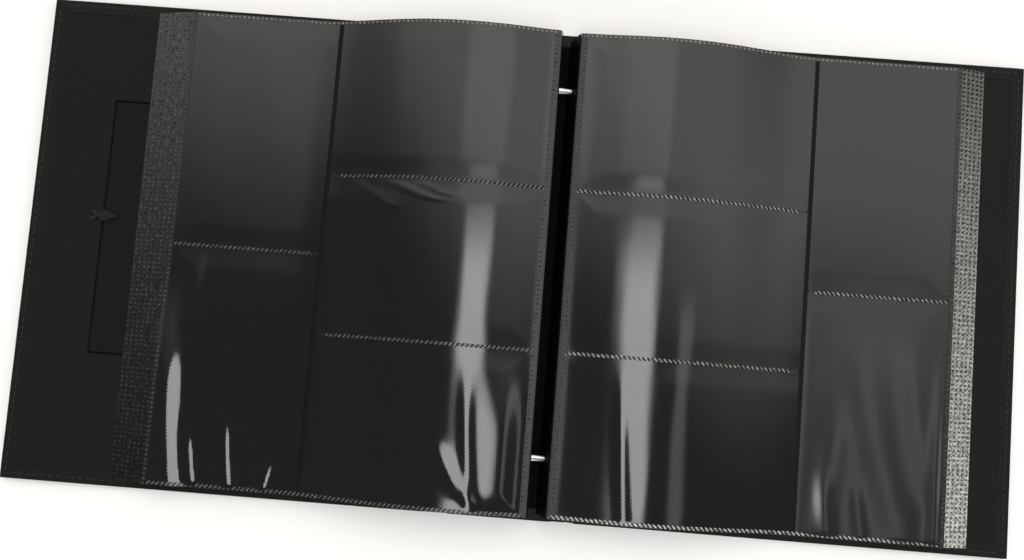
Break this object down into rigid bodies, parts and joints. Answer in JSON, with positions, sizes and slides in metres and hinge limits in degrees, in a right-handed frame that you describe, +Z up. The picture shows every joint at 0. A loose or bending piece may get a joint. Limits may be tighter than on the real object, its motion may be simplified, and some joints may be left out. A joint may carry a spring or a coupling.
{
  "type": "photo album",
  "caption": "Landscape-opening pocket photo album with soft dark covers, a cover window held by a turn button, and pocket leaves hung on two binding posts.",
  "frame": {"origin": "centre of the open album's footprint, on the table", "axes": "+X across the open album towards the back cover, +Y along the spine towards the top of the pages, +Z up from the table"},
  "size_m": [0.672, 0.331, 0.0354],
  "materials": {
    "skin": "fine diagonal grain",
    "lining": "fine grain, matte",
    "board": "raw grey board",
    "panel": "covered board",
    "window": "clear stiff film",
    "leaf": "black sheet, satin",
    "film": "clear embossed film over black",
    "metal": "bright plated",
    "dark_metal": "dark lacquer"
  },
  "bodies": {
    "binding": {"spine_board": "board", "spine_skin": "skin", "spine_liner": "lining", "front_flap": "lining", "back_flap": "lining", "posts": "metal", "left_strips": "leaf", "right_strips": "leaf"},
    "front_cover": {"front_board": "board", "front_skin": "skin", "front_liner": "lining", "window_film": "window", "window_panel": "panel", "button_rivet": "metal"},
    "button": {"turn_button": "dark_metal"},
    "screw_top": {"post_screw_top": "metal"},
    "screw_bottom": {"post_screw_bottom": "metal"},
    "back_cover": {"back_board": "board", "back_skin": "skin", "back_liner": "lining"},
    "left_1": {"left_leaf_1": "leaf"},
    "left_2": {"left_leaf_2": "leaf"},
    "left_3": {"left_leaf_3": "leaf"},
    "left_4": {"left_leaf_4": "leaf"},
    "left_5": {"left_leaf_5": "leaf"},
    "left_6": {"left_leaf_6": "leaf"},
    "left_7": {"left_leaf_7": "leaf"},
    "left_8": {"left_leaf_8": "leaf", "left_page_pockets": "film"},
    "right_1": {"right_leaf_1": "leaf"},
    "right_2": {"right_leaf_2": "leaf"},
    "right_3": {"right_leaf_3": "leaf"},
    "right_4": {"right_leaf_4": "leaf"},
    "right_5": {"right_leaf_5": "leaf"},
    "right_6": {"right_leaf_6": "leaf", "right_page_pockets": "film"}
  },
  "joints": [
    {"name": "front_close", "type": "hinge", "parent": "binding", "child": "front_cover", "pos_m": [-0.045, 0, 0.0004], "axis": [0, -1, 0], "range_deg": [-90, 0]},
    {"name": "back_close", "type": "hinge", "parent": "binding", "child": "back_cover", "pos_m": [0.045, 0, 0.0004], "axis": [0, 1, 0], "range_deg": [-90, 0]},
    {"name": "button_turn", "type": "hinge", "parent": "front_cover", "child": "button", "pos_m": [-0.2927, 0.0162, 0.004], "axis": [0, 0, 1], "range_deg": [0, 90]},
    {"name": "screw_top_turn", "type": "hinge", "parent": "binding", "child": "screw_top", "pos_m": [0.0392, 0.1235, 0.0125], "axis": [1, 0, 0], "range_deg": [0, 360]},
    {"name": "screw_bottom_turn", "type": "hinge", "parent": "binding", "child": "screw_bottom", "pos_m": [0.0392, -0.1235, 0.0125], "axis": [1, 0, 0], "range_deg": [0, 360]},
    {"name": "left_1_lift", "type": "hinge", "parent": "binding", "child": "left_1", "pos_m": [0.0101, 0, 0.0193], "axis": [0, -1, 0], "range_deg": [-82.8, 0]},
    {"name": "left_2_lift", "type": "hinge", "parent": "binding", "child": "left_2", "pos_m": [0.0113, 0, 0.0206], "axis": [0, -1, 0], "range_deg": [-82.8, 0]},
    {"name": "left_3_lift", "type": "hinge", "parent": "binding", "child": "left_3", "pos_m": [0.0125, 0, 0.0219], "axis": [0, -1, 0], "range_deg": [-82.8, 0]},
    {"name": "left_4_lift", "type": "hinge", "parent": "binding", "child": "left_4", "pos_m": [0.0137, 0, 0.0232], "axis": [0, -1, 0], "range_deg": [-82.8, 0]},
    {"name": "left_5_lift", "type": "hinge", "parent": "binding", "child": "left_5", "pos_m": [0.0149, 0, 0.0245], "axis": [0, -1, 0], "range_deg": [-82.8, 0]},
    {"name": "left_6_lift", "type": "hinge", "parent": "binding", "child": "left_6", "pos_m": [0.0161, 0, 0.0258], "axis": [0, -1, 0], "range_deg": [-82.8, 0]},
    {"name": "left_7_lift", "type": "hinge", "parent": "binding", "child": "left_7", "pos_m": [0.0173, 0, 0.0271], "axis": [0, -1, 0], "range_deg": [-82.8, 0]},
    {"name": "left_8_turn", "type": "hinge", "parent": "left_7", "child": "left_8", "pos_m": [0.0185, 0, 0.0284], "axis": [0, 1, 0], "range_deg": [0, 168]},
    {"name": "right_1_lift", "type": "hinge", "parent": "binding", "child": "right_1", "pos_m": [0.0365, 0, 0.0193], "axis": [0, 1, 0], "range_deg": [-93.6, 0]},
    {"name": "right_2_lift", "type": "hinge", "parent": "binding", "child": "right_2", "pos_m": [0.0353, 0, 0.0206], "axis": [0, 1, 0], "range_deg": [-93.6, 0]},
    {"name": "right_3_lift", "type": "hinge", "parent": "binding", "child": "right_3", "pos_m": [0.0341, 0, 0.0219], "axis": [0, 1, 0], "range_deg": [-93.6, 0]},
    {"name": "right_4_lift", "type": "hinge", "parent": "binding", "child": "right_4", "pos_m": [0.0329, 0, 0.0232], "axis": [0, 1, 0], "range_deg": [-93.6, 0]},
    {"name": "right_5_lift", "type": "hinge", "parent": "binding", "child": "right_5", "pos_m": [0.0317, 0, 0.0245], "axis": [0, 1, 0], "range_deg": [-93.6, 0]},
    {"name": "right_6_lift", "type": "hinge", "parent": "binding", "child": "right_6", "pos_m": [0.0305, 0, 0.0258], "axis": [0, 1, 0], "range_deg": [-93.6, 0]}
  ],
  "couplings": [
    {"joint": "left_1_lift", "follows": "front_close", "ratio": 0.92},
    {"joint": "left_2_lift", "follows": "front_close", "ratio": 0.92},
    {"joint": "left_3_lift", "follows": "front_close", "ratio": 0.92},
    {"joint": "left_4_lift", "follows": "front_close", "ratio": 0.92},
    {"joint": "left_5_lift", "follows": "front_close", "ratio": 0.92},
    {"joint": "left_6_lift", "follows": "front_close", "ratio": 0.92},
    {"joint": "left_7_lift", "follows": "front_close", "ratio": 0.92},
    {"joint": "right_1_lift", "follows": "back_close", "ratio": 1.04},
    {"joint": "right_2_lift", "follows": "back_close", "ratio": 1.04},
    {"joint": "right_3_lift", "follows": "back_close", "ratio": 1.04},
    {"joint": "right_4_lift", "follows": "back_close", "ratio": 1.04},
    {"joint": "right_5_lift", "follows": "back_close", "ratio": 1.04},
    {"joint": "right_6_lift", "follows": "back_close", "ratio": 1.04}
  ]
}
